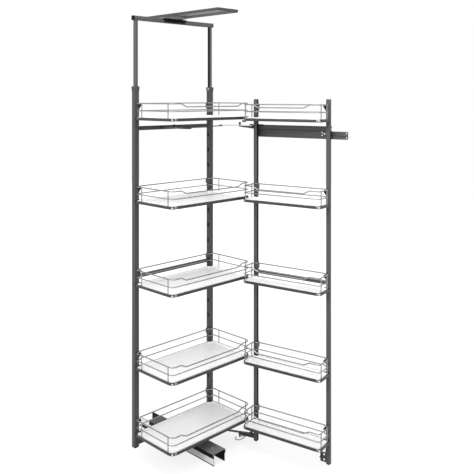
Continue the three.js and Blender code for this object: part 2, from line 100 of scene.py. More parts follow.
def bent(corners, radius, steps=6, closed=True):
    """Corner points become straight runs with true arcs of the given radius, one or one for each."""
    points = np.asarray(corners, float)
    radius = np.broadcast_to(np.asarray(radius, float), (len(points),))
    middle = slice(None) if closed else slice(1, -1)
    here, size = points[middle], radius[middle][:, None]
    back = unit(np.roll(points, 1, 0)[middle] - here)
    ahead = unit(np.roll(points, -1, 0)[middle] - here)
    inside = np.arccos(np.clip((back * ahead).sum(1, keepdims=True), -1, 1))
    turn = math.pi - inside
    reach = size * np.tan(turn / 2)
    centre = here + unit(back + ahead) * size / np.sin(inside / 2)
    u = (here + back * reach - centre) / size
    v = (here + ahead * reach - centre) / size
    s = np.linspace(0, 1, steps + 1)[None, :, None]
    turn = turn[:, None]
    blend = (np.sin((1 - s) * turn) * u[:, None] + np.sin(s * turn) * v[:, None]) / np.sin(turn)
    line = (centre[:, None] + size[:, None] * blend).reshape(-1, points.shape[1])
    return line if closed else np.vstack([points[:1], line, points[-1:]])


print("a square of 10 with bends of 2 has", len(bent([(0, 0), (10, 0), (10, 10), (0, 10)], 2)), "points")

# %% [markdown]
# ## Surfaces
# Almost everything here is a section carried along a line, as a folded bar is, or a stack of like
# loops, as a tray is. Both are grids of points, so one routine numbers the faces of a grid. The flat
# punched plate comes from a filled curve, Blender's own way to fill an outline that has holes.


# %% Gathering surfaces into one mesh
def grid_faces(rows, columns, wrap_rows):
    """Quads of a grid of points: point (r, c) is number r·columns + c. The columns close round, and
    so do the rows where they wrap."""
    r = np.arange(rows if wrap_rows else rows - 1)[:, None]
    c = np.arange(columns)[None, :]
    below, beside = (r + 1) % rows, (c + 1) % columns
    corners = [r * columns + c, r * columns + beside, below * columns + beside, below * columns + c]
    return np.stack(np.broadcast_arrays(*corners), -1).reshape(-1, 4)


class Shape:
    """Closed surfaces in millimetres, gathered into one mesh; any given grids come first."""

    def __init__(self, *grids):
        self.points, self.faces, self.total = [], [], 0
        for points in grids:
            self.grid(points)

    def add(self, points, faces):
        self.points.append(np.asarray(points, float).reshape(-1, 3))
        self.faces += [[index + self.total for index in face] for face in faces]
        self.total += len(self.points[-1])
        return self

    def grid(self, points, wrap_rows=False):
        """A grid of points; its first and last rows are filled unless the rows wrap."""
        rows, columns = points.shape[:2]
        faces = grid_faces(rows, columns, wrap_rows).tolist()
        if not wrap_rows:
            faces += [list(range(columns)), list(range((rows - 1) * columns, rows * columns))]
        return self.add(points, faces)

    def sheet(self, loops, thickness, origin, across=(1, 0, 0), rise=(0, 1, 0), edge=0.3):
        """A flat punched plate set in space: origin is in its middle plane, and its plan's x and y
        run along across and rise."""
        points, faces = plate(loops, thickness, edge)
        axes = np.array([across, rise, np.cross(across, rise)], float)
        return self.add(points @ axes + np.asarray(origin, float), faces)


UPRIGHT = ((1, 0, 0), (0, 0, 1))        # a sheet that faces the front: its axes across and rise


# %% A section carried along a line
def carried(section, line, closed=False, up=(0, 0, 1)):
    """Rows of points: line + x·side + y·top for each section point (x, y), where side is the tangent
    crossed with up, widened by 1 / cos(half the turn) so that a mitre keeps its wall."""
    line = np.asarray(line, float)
    section = np.asarray(section, float)
    leaving = np.roll(line, -1, 0) - line
    arriving = line - np.roll(line, 1, 0)
    if not closed:
        leaving[-1], arriving[0] = arriving[-1], leaving[0]
    leaving, arriving = unit(leaving), unit(arriving)
    tangent = unit(leaving + arriving)
    side = unit(np.cross(tangent, np.asarray(up, float)))
    top = np.cross(side, tangent)
    mitre = 1 / np.clip((leaving * tangent).sum(1), 0.5, 1)
    sideways = (side * mitre[:, None])[:, None] * section[None, :, :1]
    return line[:, None] + sideways + top[:, None] * section[None, :, 1:2]


def circle(radius, sides=14):
    angle = np.arange(sides) * 2 * math.pi / sides
    return np.column_stack([radius * np.cos(angle), radius * np.sin(angle)])


def stacked(outlines, heights):
    """Like loops of (x, y) points, one above the other."""
    height = np.asarray(heights, float)[:, None, None]
    outlines = np.asarray(outlines, float)
    return np.concatenate([outlines, np.broadcast_to(height, outlines.shape[:2] + (1,))], -1)


def turned(profile, centre, sides=24, axis="z"):
    """A profile of (radius, height) points turned round an axis through the centre:
    x = r·cos(a), y = r·sin(a), z = h, with the axes swapped for a piece that lies along x or y."""
    profile = np.asarray(profile, float)
    angle = np.arange(sides) * 2 * math.pi / sides
    x = profile[:, :1] * np.cos(angle)
    y = profile[:, :1] * np.sin(angle)
    z = np.broadcast_to(profile[:, 1:], x.shape)
    order = {"z": (x, y, z), "x": (z, x, y), "y": (x, z, y)}[axis]
    return np.stack(order, -1) + np.asarray(centre, float)


# %% A flat punched plate
def points_of(mesh):
    points = np.zeros(len(mesh.vertices) * 3, np.float32)
    mesh.vertices.foreach_get("co", points)
    return points.reshape(-1, 3).astype(float)


def plate(loops, thickness, edge=0.3):
    """Points and faces of a flat sheet, its middle plane on z = 0: the first loop is its outline and
    the others are holes. The edges are broken by a small round of the given size."""
    curve = bpy.data.curves.new("outline", "CURVE")
    curve.dimensions = "2D"
    curve.fill_mode = "BOTH"
    curve.extrude = thickness / 2 - edge
    curve.bevel_depth = edge
    curve.bevel_resolution = 1 if edge else 0
    curve.offset = -edge
    for loop in loops:
        spline = curve.splines.new("POLY")
        spline.points.add(len(loop) - 1)
        padding = np.tile([0.0, 1.0], (len(loop), 1))
        spline.points.foreach_set("co", np.hstack([loop, padding]).astype(np.float32).ravel())
        spline.use_cyclic_u = True
    holder = bpy.data.objects.new("outline", curve)
    mesh = bpy.data.meshes.new_from_object(holder)
    points, faces = points_of(mesh), [list(face.vertices) for face in mesh.polygons]
    bpy.data.objects.remove(holder)
    bpy.data.curves.remove(curve)
    bpy.data.meshes.remove(mesh)
    return points, faces


def ring(radius, centre=(0.0, 0.0), sides=20):
    return circle(radius, sides) + np.asarray(centre, float)


sample = plate([bent([(0, 0), (40, 0), (40, 20), (0, 20)], 4), ring(3, (20, 10))], 2)
print("a plate with one hole:", len(sample[0]), "points,", len(sample[1]), "faces")

# %% [markdown]
# ## From a shape to a piece
# A finished piece is merged, turned so that its faces point outwards, put into the model's axes and
# shaded smooth except at its folds. It then rides on a body, stands for its CAD node and names the
# slot that its finish comes from.

# %% Make a piece
SLOT_OF = {row["node"]: row["material_slot"] for row in frame["record"]["subparts"]}
BODY_OF = {node: body for body, nodes in frame["record"]["behaviour"]["bodies"].items() for node in nodes}
FOLD = math.radians(32)
finishes = {}


def piece(name, shape, place=INNER, node=None, like=None, finish=None, coating=None):
    """One mesh object made of a Shape. node is the CAD node it stands for; a small added piece
    names in like the node whose body it shares. coating is a finish that the slots don't name."""
    mesh = bpy.data.meshes.new(name)
    mesh.from_pydata(np.concatenate(shape.points).tolist(), [], shape.faces)
    work = bmesh.new()
    work.from_mesh(mesh)
    bmesh.ops.remove_doubles(work, verts=work.verts, dist=0.002)
    bmesh.ops.recalc_face_normals(work, faces=work.faces)
    work.to_mesh(mesh)
    work.free()
    mesh.vertices.foreach_set("co", place.world(points_of(mesh)).ravel())
    mesh.shade_smooth()
    mesh.set_sharp_from_angle(angle=FOLD)
    item = bpy.data.objects.new(name, mesh)
    bpy.context.scene.collection.objects.link(item)
    mesh.materials.append(finishes[coating or finish or SLOT_OF[node]])
    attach(item, BODY_OF[node or like])
    if node:
        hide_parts(node)
    return item


# %% [markdown]
# ## The photographer's view
# The picture was taken level, from a little over two and a half metres away, with the lens looking
# at the corner between the two frames. The verticals stay upright, so the camera isn't tilted: the
# picture is moved down by the lens's shift, as in an architect's camera.

# %% Camera
PICTURE_SIDE = 474
FOCAL_PIXELS = 686.61
HORIZON_ROW = 97.22
SENSOR = 36.0
EYE = (-1.80258, -2.13898, 1.39206)
HEADING = 45.19

lens = bpy.data.cameras.new("camera")
lens.sensor_width = SENSOR
lens.lens = FOCAL_PIXELS * SENSOR / PICTURE_SIDE
lens.shift_y = (HORIZON_ROW - PICTURE_SIDE / 2) / PICTURE_SIDE
camera = bpy.data.objects.new("camera", lens)
camera.location = EYE
camera.rotation_euler = (math.pi / 2, 0, -math.radians(HEADING))
bpy.context.scene.collection.objects.link(camera)
bpy.context.scene.camera = camera
print("lens", round(lens.lens, 2), "mm, shift", round(lens.shift_y, 4))

# %% [markdown]
# ## A white room
# The unit stands before plain white. The lamps light it evenly, a little more from the left and from
# above. The white is only what the camera sees: where Light Path says that a ray comes straight from
# the camera, or from a mirror, the world is white. The floor takes the shadow, and glows for the
# camera alone, from four fifths near the unit to almost full white away from it, so that the shadow
# stays and the floor's edge fades.


# %% World, floor and lamps
def shader(tree, kind, values=None):
    """A new shader node, with values on its input sockets."""
    made = tree.nodes.new("ShaderNode" + kind)
    for name, value in (values or {}).items():
        made.inputs[name].default_value = value
    return made


def connect(tree, *rows):
    """Links, one for each row: a node and its output, a node and its input."""
    for source, result, target, socket in rows:
        tree.links.new(source.outputs[result], target.inputs[socket])


def seen_by_eye(tree):
    """1 for rays that a viewer or a mirror sees, 0 for the light that falls on the object."""
    path = shader(tree, "LightPath")
    seen = path.outputs["Is Camera Ray"]
    for kind in ("Is Glossy Ray", "Is Transmission Ray"):
        either = shader(tree, "Math")
        either.operation = "MAXIMUM"
        tree.links.new(seen, either.inputs[0])
        tree.links.new(path.outputs[kind], either.inputs[1])
        seen = either.outputs[0]
    return seen


AMBIENT = 0.8
WHITE = (1, 1, 1, 1)
LIFT_NEAR, LIFT_FAR = 0.8, 0.96
FADE_FROM, FADE_TO = 0.7, 2.2          # metres from the unit
world = bpy.data.worlds.new("white room")
world.use_nodes = True
bpy.context.scene.world = world
tree = world.node_tree
tree.nodes.clear()
soft_light = shader(tree, "Background", {"Strength": AMBIENT, "Color": WHITE})
white_wall = shader(tree, "Background", {"Strength": 1.0, "Color": WHITE})
choose = shader(tree, "MixShader")
output = shader(tree, "OutputWorld")
tree.links.new(seen_by_eye(tree), choose.inputs[0])
connect(tree, (soft_light, 0, choose, 1), (white_wall, 0, choose, 2), (choose, 0, output, "Surface"))

floor_paint = bpy.data.materials.new("floor_paint")
floor_paint.use_nodes = True
tree = floor_paint.node_tree
surface = tree.nodes["Principled BSDF"]
surface.inputs["Base Color"].default_value = (0.2, 0.2, 0.2, 1)
surface.inputs["Roughness"].default_value = 0.9
surface.inputs["Emission Color"].default_value = WHITE
position = shader(tree, "TexCoord")
distance = shader(tree, "VectorMath")
distance.operation = "LENGTH"
fade = shader(tree, "MapRange", {"From Min": FADE_FROM, "From Max": FADE_TO,
                               "To Min": LIFT_NEAR, "To Max": LIFT_FAR})
fade.interpolation_type = "SMOOTHSTEP"
lift = shader(tree, "Math")
lift.operation = "MULTIPLY"
tree.links.new(seen_by_eye(tree), lift.inputs[0])
connect(tree, (position, "Object", distance, 0), (distance, "Value", fade, "Value"),
        (fade, "Result", lift, 1), (lift, 0, surface, "Emission Strength"))

bpy.ops.mesh.primitive_plane_add(size=14, location=(0, 0, -0.0006))
floor = bpy.context.object
floor.name = "floor"
floor.data.materials.append(floor_paint)


def lamp(name, place, target, power, size):
    """A square soft lamp that looks at the target."""
    light = bpy.data.lights.new(name, "AREA")
    light.energy = power
    light.size = size
    item = bpy.data.objects.new(name, light)
    away = np.array(place, float) - np.array(target, float)
    across = math.hypot(away[0], away[1])
    item.location = place
    item.rotation_euler = (math.atan2(across, away[2]), 0, math.atan2(away[1], away[0]) + math.pi / 2)
    bpy.context.scene.collection.objects.link(item)


MIDDLE = (0.0, -0.2, 0.85)
lamp("key from the left", (-3.4, -0.5, 2.5), MIDDLE, 78, 2.2)
lamp("fill from the front", (0.6, -3.4, 3.4), MIDDLE, 24, 2.5)
lamp("top", (-0.8, -1.0, 4.4), MIDDLE, 56, 2.0)
bpy.context.scene.view_settings.view_transform = "Standard"

# %% [markdown]
# ## Finishes
# Powder coat dries with a fine orange peel, so its skin is a soft bump a few tenths of a millimetre
# across, with a faint change of gloss over a hand's breadth. Moulded trays and nylon parts have an
# even grain instead. Zinc plate shows a cloudy bloom, and the chromed wire only a slight waviness.
# The powder coat comes in several greys: the posts of the two frames, the inner posts' punched walls and
# the telescopic legs differ a little. Some colours are painted light and shade: the pale carriage and the
# light grey cover are painted light; the white bands on the rail, the white corner pills and the bright
# washers are painted highlights; the black of the door posts' punched walls and of the strips in the legs
# and on the cover is painted shade, and so is part of the rail's black. One recipe serves them all; every
# pattern reads Object coordinates, because each piece's origin is the model's own.


# %% One recipe for all the finishes
def finish(name, colour, roughness, metallic=0.0, grain=0.3, grain_size=0.5, cloud=0.06,
           cloud_size=60.0, specular=0.5):
    """A principled surface: cloud shifts colour and gloss over cloud_size mm, grain bumps the skin
    over grain_size mm."""
    material = bpy.data.materials.new(name)
    material.use_nodes = True
    tree = material.node_tree
    surface = tree.nodes["Principled BSDF"]
    surface.inputs["Metallic"].default_value = metallic
    surface.inputs["Specular IOR Level"].default_value = specular
    place = shader(tree, "TexCoord")
    drift = shader(tree, "TexNoise", {"Scale": 1 / (cloud_size * MM), "Detail": 4})
    tint = shader(tree, "MapRange", {"To Min": 1 - cloud, "To Max": 1 + cloud})
    shade = shader(tree, "Mix")
    shade.data_type, shade.blend_type = "RGBA", "MULTIPLY"
    shade.inputs["Factor"].default_value = 1
    shade.inputs["A"].default_value = (*colour, 1)
    swing = 1.5 * cloud * roughness
    gloss = shader(tree, "MapRange", {"To Min": roughness - swing, "To Max": roughness + swing})
    speckle = shader(tree, "TexNoise", {"Scale": 1 / (grain_size * MM), "Detail": 2})
    skin = shader(tree, "Bump", {"Strength": grain, "Distance": 0.1 * MM})
    connect(tree, (place, "Object", drift, "Vector"), (place, "Object", speckle, "Vector"),
            (drift, "Fac", tint, "Value"), (tint, "Result", shade, "B"),
            (shade, "Result", surface, "Base Color"), (drift, "Fac", gloss, "Value"),
            (gloss, "Result", surface, "Roughness"), (speckle, "Fac", skin, "Height"),
            (skin, "Normal", surface, "Normal"))
    finishes[name] = material


finish("anthracite", (0.052, 0.0525, 0.0535), 0.46, grain=0.35)
finish("light_anthracite", (0.072, 0.0727, 0.0738), 0.46, grain=0.35)
finish("dark_steel", (0.034, 0.0345, 0.0355), 0.44)
finish("chrome_wire", (0.31, 0.313, 0.317), 0.26, metallic=1.0, grain=0.08, grain_size=3.0, cloud=0.03)
finish("zinc", (0.6, 0.61, 0.62), 0.34, metallic=0.9, grain=0.15, grain_size=1.2, cloud=0.12,
       cloud_size=18.0)
finish("white_tray", (0.92, 0.92, 0.915), 0.42, grain=0.4, grain_size=0.6, cloud=0.012)
finish("black_plastic", (0.009, 0.009, 0.0095), 0.55, grain=0.4, grain_size=0.35, specular=0.08)
finish("satin_steel", (0.088, 0.089, 0.091), 0.46)
# the pale coat of the track's lining, also used on the carriage as painted light
finish("pale_lining_and_painted_light", (0.42, 0.42, 0.425), 0.5)
# painted light: a light grey for the cover, lighter than its dark steel
finish("painted_light_grey", (0.16, 0.161, 0.163), 0.5)
print("finishes:", sorted(finishes))

# %% [markdown]
# ## Baskets
# Both frames carry the same basket in two sizes. A dark steel ring hangs on two hook plates that
# reach into the posts' slots, a white moulded tray drops into the ring, and a gallery of two round
# wires stands in the gap between them. The upper wire dips along the front, so that things can be
# lifted out. Everything follows one outline: a rectangle with round corners, whose rear steps back
# between the two posts.

# %% The sizes of the two baskets
LEVELS = [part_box(f"inner_rim_{i}")[0].z / MM for i in range(1, 6)]
DOOR_LEVELS = [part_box(f"door_rim_{i}")[0].z / MM for i in range(1, 6)]
FIRST_SLOT, SLOT_PITCH, SLOT_COUNT = 81.0, 64.0, 21
RING_HEIGHT, TRAY_TOP = 11.0, 12.5
RAIL_INSET, UPPER_RAIL, LOWER_RAIL, RAIL_DIP, RAIL_RAMP = 3.4, 64.5, 36.5, 11.5, 25.0
UPPER_WIRE, LOWER_WIRE, STAY_WIRE = 2.3, 2.0, 2.1      # radii
SETBACK, STEP_FROM_HOOK = 8.0, 1.2


class Basket(SimpleNamespace):
    """One size of basket in its frame's axes: rear is its back beside the posts, plate_at the way
    from the middle to a hook plate, stay and rear_stay the ways in from the front and the rear."""

    def rear_line(self, inset):
        """The plan's rear from right to left, with its bends: it steps back between the posts.
        Inset, a bend that stands out gets tighter, and the two hollow ones get wider."""
        rear, back = self.rear - inset, self.rear + SETBACK - inset
        outside, inside = self.width / 2 - inset, self.plate_at - STEP_FROM_HOOK - inset
        half = [(outside, rear), (inside, rear), (inside, back)]
        corners = half + [(-x, y) for x, y in reversed(half)]
        bends = [max(self.rear_corner - inset, 0.9), min(2 + inset, 6.5), max(5.5 - inset, 0.9)]
        return [(self.middle + x, y) for x, y in corners], bends + bends[::-1]

    def outline(self, inset):
        """The plan, inset: every corner keeps its centre while it can."""
        half, front = self.width / 2 - inset, self.rear - self.depth + inset
        corners, radii = self.rear_line(inset)
        corners += [(self.middle - half, front), (self.middle + half, front)]
        return bent(corners, radii + [self.corner - inset] * 2, steps=8)

    def loops(self, profile):
        """A stack of outlines, one for each (inset, height) of the profile."""
        return stacked([self.outline(inset) for inset, _ in profile], [height for _, height in profile])


DEEP = Basket(width=413, depth=221, corner=25, rear_corner=10, dip=160, stay=27, rear_stay=37, hook=12,
              middle=0, rear=-1.5, plate_at=184.7, post=20)
SHALLOW = Basket(width=341, depth=80.5, corner=13, rear_corner=8, dip=125, stay=16, rear_stay=16, hook=20,
                 middle=161, rear=79.5, plate_at=153.2, post=15)
FRAMES = ((DEEP, LEVELS, "inner", INNER), (SHALLOW, DOOR_LEVELS, "door", DOOR))
print("levels of the deep baskets:", [round(z, 1) for z in LEVELS])


# %% The ring with its hook plates
def basket_ring(basket, level, tongue):
    """An angle section (outer wall, ledge 12 wide) as a stack of outlines that closes on itself, and
    two hook plates: flat outlines on edge at x = ±plate_at, each with a tongue for a slot."""
    angle = bent([(0, 0), (12, 0), (12, 1.5), (1.3, 1.5), (1.3, RING_HEIGHT), (0, RING_HEIGHT)],
                 [1.1, 0.6, 0.6, 0.4, 0.5, 0.7], steps=3)
    shape = Shape().grid(basket.loops(angle) + (0, 0, level), wrap_rows=True)
    slot_at = 1.5 + basket.post / 2
    front, back, rear = 5, slot_at + 3, basket.post + 4.9
    hook = bent([(-0.6, 0.4), (back, 0.4), (back, 41), (rear, 43), (rear, 62), (back, 70.5),
                 (front, 70.5), (front, 61.7), (-basket.hook, 61.7), (-basket.hook, 59.5), (front, 41),
                 (front, 14), (-0.6, RING_HEIGHT)],
                [0.3, 2, 1.5, 2.5, 4, 4, 2, 1, 0.9, 0.9, 6, 4, 1], steps=4)
    peg = bent([(-1.5, -5), (1.5, -5), (1.5, 5), (-1.5, 5)], 1.2, steps=3)
    for side in (-1, 1):
        x = basket.middle + side * basket.plate_at
        shape.sheet([hook], 2.0, (x, basket.rear, level), across=(0, 1, 0), rise=(0, 0, 1))
        ends = [(x + side * reach, basket.rear + slot_at, level + tongue) for reach in (-0.5, 3.6)]
        shape.grid(carried(peg, ends))
    return shape


# %% The tray
def basket_tray(basket, level):
    """A dish with a rolled lip: its profile runs from the middle of the underside, round the foot,
    up the wall, over the lip and down again to the middle of the floor."""
    deep = min(basket.corner - 0.8, 17.0)
    profile = bent([(deep, 1.8), (5.6, 1.8), (5.6, TRAY_TOP), (7.4, TRAY_TOP), (7.4, 3.6), (deep, 3.6)],
                   [1, 2.2, 0.85, 0.85, 2.6, 1], steps=5, closed=False)
    return Shape(basket.loops(profile) + (0, 0, level))


# %% The wire gallery
def basket_gallery(basket, level):
    """Two hoops of round wire and four stays. Both hoops follow the plan, and the upper one has
    four shallow corners more, which let it down along the front."""
    half = basket.width / 2 - RAIL_INSET
    front = basket.rear - basket.depth + RAIL_INSET
    left, right = basket.middle - half, basket.middle + half
    rear, rear_bends = basket.rear_line(RAIL_INSET)
    high, low, dipped = level + UPPER_RAIL, level + LOWER_RAIL, level + UPPER_RAIL - RAIL_DIP
    bend = basket.corner - RAIL_INSET
    upper_bends = rear_bends + [bend] + [9] * 4 + [bend]
    dip = [(-basket.dip, high), (RAIL_RAMP - basket.dip, dipped),
           (basket.dip - RAIL_RAMP, dipped), (basket.dip, high)]
    upper = [(x, y, high) for x, y in rear] + [(left, front, high)]
    upper += [(basket.middle + x, front, z) for x, z in dip] + [(right, front, high)]
    lower = [(x, y, low) for x, y in rear] + [(left, front, low), (right, front, low)]
    shape = Shape().grid(carried(circle(UPPER_WIRE), bent(upper, upper_bends, 9), True), wrap_rows=True)
    shape.grid(carried(circle(LOWER_WIRE), bent(lower, rear_bends + [bend] * 2, 9), True), wrap_rows=True)
    for x in (left, right):
        for y in (basket.rear - basket.rear_stay, basket.rear - basket.depth + basket.stay):
            ends = [(x, y, level + 1.8), (x, y, high)]
            shape.grid(carried(circle(STAY_WIRE, 12), ends, up=(0, 1, 0)))
    return shape


# %% Hang all ten baskets
for basket, levels, prefix, place in FRAMES:
    tongue = FIRST_SLOT + SLOT_PITCH - levels[0]        # the lowest basket hangs in the second slot
    for number, level in enumerate(levels, 1):
        for name, part, shape in (("ring", "rim", basket_ring(basket, level, tongue)),
                                  ("dish", "tray", basket_tray(basket, level)),
                                  ("wires", "gallery", basket_gallery(basket, level))):
            piece(f"{prefix}_{name}_{number}", shape, place, f"{prefix}_{part}_{number}")
print("ten baskets hung")

# %% [markdown]
# ## Corner clips
# Each basket is clipped together at its front corners. A clip shows as a white pill in the middle of the
# corner's bend, with a dark stud on a bright washer beside it, towards the front: the white pill and the
# bright washer are painted highlights of the corner's screw. All are turned shapes that look out along
# the bend's radius.

# %% Clips, studs and washers
CLIP_HEIGHT = 5.0
# the white pills and the bright washers are painted highlights of the corner screws
# finish, degrees round from the front, profile
ON_CORNERS = {
    "clips": ("white_tray", 45, [(3.0, -0.6), (3.0, 0.9), (2.6, 1.4), (1.7, 1.7)]),
    "studs": ("black_plastic", 14, [(2.7, -0.6), (2.7, 1.6), (2.1, 2.3), (1.0, 2.5)]),
    "washers": ("zinc", 14, [(4.6, -0.6), (4.6, 0.7), (4.2, 1.1), (3.0, 1.2)])}


def facing(profile, centre, heading):
    """A turned profile of (radius, height) laid down so that its axis points along the heading."""
    out = (math.cos(heading), math.sin(heading), 0.0)
    aside = (-math.sin(heading), math.cos(heading), 0.0)
    return turned(profile, (0, 0, 0), 20) @ np.array([aside, (0.0, 0.0, 1.0), out]) + centre


def on_corners(basket, levels, profile, lean):
    """One turned shape at the two front corners of every basket: it stands on the bend, whose
    centre is corner away from both walls."""
    shape = Shape()
    for side in (-1, 1):
        heading = math.radians(-90 + side * lean)
        x = basket.middle + side * (basket.width / 2 - basket.corner) + basket.corner * math.cos(heading)
        y = basket.rear - basket.depth + basket.corner + basket.corner * math.sin(heading)
        for level in levels:
            shape.grid(facing(profile, (x, y, level + CLIP_HEIGHT), heading))
    return shape


for basket, levels, prefix, place in FRAMES:
    for name, (coat, lean, profile) in ON_CORNERS.items():
        piece(f"{prefix}_corner_{name}", on_corners(basket, levels, profile, lean), place,
              like=f"{prefix}_rim_1", finish=coat)
print("on the corners:", sorted(ON_CORNERS))

# %% [markdown]
# ## Posts
# A post is a square tube with one wall punched from end to end. The three plain walls and the two lips
# are one folded section, and the punched wall is a sheet that closes it, so the slots are real holes with
# the dark inside of the tube behind them. The sheet is a piece of its own, a shade darker than the rest;
# on the door posts it is black, which is painted shade, because that wall stands in shade.


# %% Slotted posts
def block_outline(x0, x1, y0, y1, radius, steps=4):
    return bent([(x0, y0), (x1, y0), (x1, y1), (x0, y1)], radius, steps)


def slab(x0, x1, y0, y1, z0, z1, corner=1.0, edge=0.4):
    """An upright block with round corners and broken edges, as a stack of four outlines."""
    insets = (edge, 0, 0, edge)
    loops = [block_outline(x0 + e, x1 - e, y0 + e, y1 - e, corner, 3) for e in insets]
    return stacked(loops, (z0, z0 + edge, z1 - edge, z1))


def block(x, y, wide, deep, *rest):
    """A slab round the point (x, y), by half its width and half its depth."""
    return slab(x - wide, x + wide, y - deep, y + deep, *rest)


def beside(side, near, far, *rest):
    """A slab on one side of the middle, near to far from it."""
    return slab(*sorted((side * near, side * far)), *rest)


def pair(*measures):
    """The same slab on both sides of the middle."""
    return Shape(beside(-1, *measures), beside(1, *measures))


# the posts' tubes: outside, wall, width of the slots, heights of the ends
INNER_TUBE = SimpleNamespace(size=20, wall=1.5, slot=8, low=46, high=1431)
DOOR_TUBE = SimpleNamespace(size=15, wall=1.3, slot=6, low=6, high=1382)
SLOT_LENGTH = 18


def slotted_post(tube, x, y, side):
    """The folded part and the punched wall of a tube centred on x with its front on y; side is the
    way that the punched wall looks."""
    size, wall, low, high = tube.size, tube.wall, tube.low, tube.high
    half, lip, sharp = size / 2, 2.3, 0.02
    section = bent([(half, lip), (half, 0), (-half, 0), (-half, size), (half, size), (half, size - lip),
                    (half - wall, size - lip), (half - wall, size - wall), (wall - half, size - wall),
                    (wall - half, wall), (half - wall, wall), (half - wall, lip)],
                   [sharp, 0.9, 0.9, 0.9, 0.9, sharp, sharp, 0.4, 0.4, 0.4, 0.4, sharp], steps=4)
    section = section * (side, 1) + (x, y)
    folded = Shape(stacked([section, section], (low, high)))
    seam, wide, long = 0.01, tube.slot / 2, SLOT_LENGTH / 2
    slots = [block_outline(z - long, z + long, half - wide, half + wide, wide - 0.05, 6)
             for z in FIRST_SLOT + SLOT_PITCH * np.arange(SLOT_COUNT)]
    outline = block_outline(low, high, lip + seam, size - lip - seam, sharp, 1)
    centre = (x + side * (half - wall / 2), y, 0)
    return folded, Shape().sheet([outline] + slots, wall, centre, (0, 0, 1), (0, 1, 0), edge=0)


def foot(tube, x, y, drop):
    """A plug with a chamfered sole, as tall as drop, and its shank inside the tube."""
    half, top = tube.size / 2, tube.low
    sole = top - drop
    loops = [block_outline(x - half + e, x + half - e, y + e, y + tube.size - e, 1.6)
             for e in (2, 0.4, 0, 0, 0.5)]
    inner = half - tube.wall - 0.3
    return Shape(stacked(loops, (sole, sole + 1.4, sole + 2.2, top - 0.8, top - 0.3)),
                 block(x, y + half, inner, inner, top - 1, top + 15.7))


def post_cap(tube, x, y):
    """A lid on the tube with a plug inside it."""
    half, top = tube.size / 2, tube.high
    return Shape(block(x, y + half, half, half, top + 0.05, top + 2, 1.4, 0.7),
                 block(x, y + half, half - 1.6, half - 1.6, top - 10, top + 0.3))


INNER_X, DOOR_FRONT = 196.0, 81.0
DOOR_XS = {"left": -1.0, "right": 323.0}
for name, side in (("left", 1), ("right", -1)):
    x, post = -side * INNER_X, f"inner_post_{name}"
    folded, face = slotted_post(INNER_TUBE, x, 0, side)
    piece(f"inner_tube_{name}", folded, node=post)
    piece(f"inner_slotted_face_{name}", face, like=post, finish="anthracite", coating="dark_steel")
    piece(f"inner_sole_{name}", foot(INNER_TUBE, x, 0, 6), node=f"inner_foot_{name}")
    x, y, post = DOOR_XS[name], DOOR_FRONT, f"door_post_{name}"
    folded, face = slotted_post(DOOR_TUBE, x, y, side)
    piece(f"door_tube_{name}", folded, DOOR, post, coating="light_anthracite")
    # painted shade: the door posts' punched walls are black because that wall stands in shade
    piece(f"door_slotted_face_{name}", face, DOOR, like=post, finish="black_plastic")
    piece(f"door_sole_{name}", foot(DOOR_TUBE, x, y, 5), DOOR, f"door_foot_{name}")
    piece(f"door_post_cap_{name}", post_cap(DOOR_TUBE, x, y), DOOR, like=post, finish="black_plastic")
print("four posts, with", SLOT_COUNT, "slots each")

# %% [markdown]
# ## The telescopic yoke
# Two channel legs stand in the inner posts and carry a bar across the top; a black strip in each leg's
# open side is painted shade for the dark inside of the channel. A collar closes each post round its leg
# and holds it with a screw, so the fitter can set the height to the cabinet. On the bar, a nylon carriage
# with a dark skirt runs in the track; the carriage's pale coat is painted light where the track shades
# it.


# %% Collars, legs, bar, carriage and track
INNER_MIDDLE = INNER_TUBE.size / 2
COLLAR_BASE, COLLAR_TOP = 1417, 1434.5
LEG_HALF, LEG_INSIDE = 6.5, 5.3
BAR_LOW, BAR_TOP, BAR_REACH = 1690, 1707, INNER_X + 13
TRACK_FRONT, TRACK_REAR, TRACK_LIP = -300, 175, 1714
BUTTON = np.array([(3.0, -0.5), (3.0, 0.5), (2.6, 1.2), (1.9, 1.6), (1.3, 1.6), (1.3, 0.7)])


def button(centre, axis, out, size=1.0):
    """A screw's button head with a round drive; out is the way it looks along its axis."""
    return turned(BUTTON * (size, out * size), centre, 20, axis)


def collar(x):
    """A tapered cap: its section closes on itself, outside up, over the lip and down the inside."""
    seat, y = INNER_TUBE.high + 0.3, INNER_MIDDLE
    section = bent([(11.2, COLLAR_BASE), (12.2, COLLAR_TOP), (6.8, COLLAR_TOP), (6.8, seat), (10.3, seat),
                    (10.3, COLLAR_BASE)], [0.4, 1.4, 0.4, 0.4, 0.4, 0.2], steps=3)
    loops = [block_outline(x - half, x + half, y - half, y + half, max(half - 9.2, 0.8))
             for half in section[:, 0]]
    return Shape().grid(stacked(loops, section[:, 1]), wrap_rows=True)


def leg(x, side):
    """A channel whose web is on the outside; side is the post's side."""
    half, inside = LEG_HALF, LEG_INSIDE
    section = bent([(half, -half), (half, half), (-half, half), (-half, inside), (inside, inside),
                    (inside, -inside), (-half, -inside), (-half, -half)],
                   [1.3, 1.3, 0.3, 0.3, 0.4, 0.4, 0.3, 0.3], steps=3) * (side, 1) + (x, INNER_MIDDLE)
    return Shape(stacked([section, section], (1230, BAR_LOW - 0.3)))


def leg_painted_shade(side):
    """A black strip inside the channel, and its thin face over the channel's edges: painted shade for the
    dark inside of the open channel.
    """
    low, high, half = 1240, BAR_LOW - 0.6, LEG_INSIDE - 0.1
    shape = Shape(beside(side, INNER_X - LEG_HALF, INNER_X + half, INNER_MIDDLE - half,
                        INNER_MIDDLE + half, low, high))
    return shape.grid(beside(side, INNER_X - 6.75, INNER_X - 6.45, INNER_MIDDLE - 6.3, INNER_MIDDLE + 6.3,
                             low, high, 0.1, 0.1))


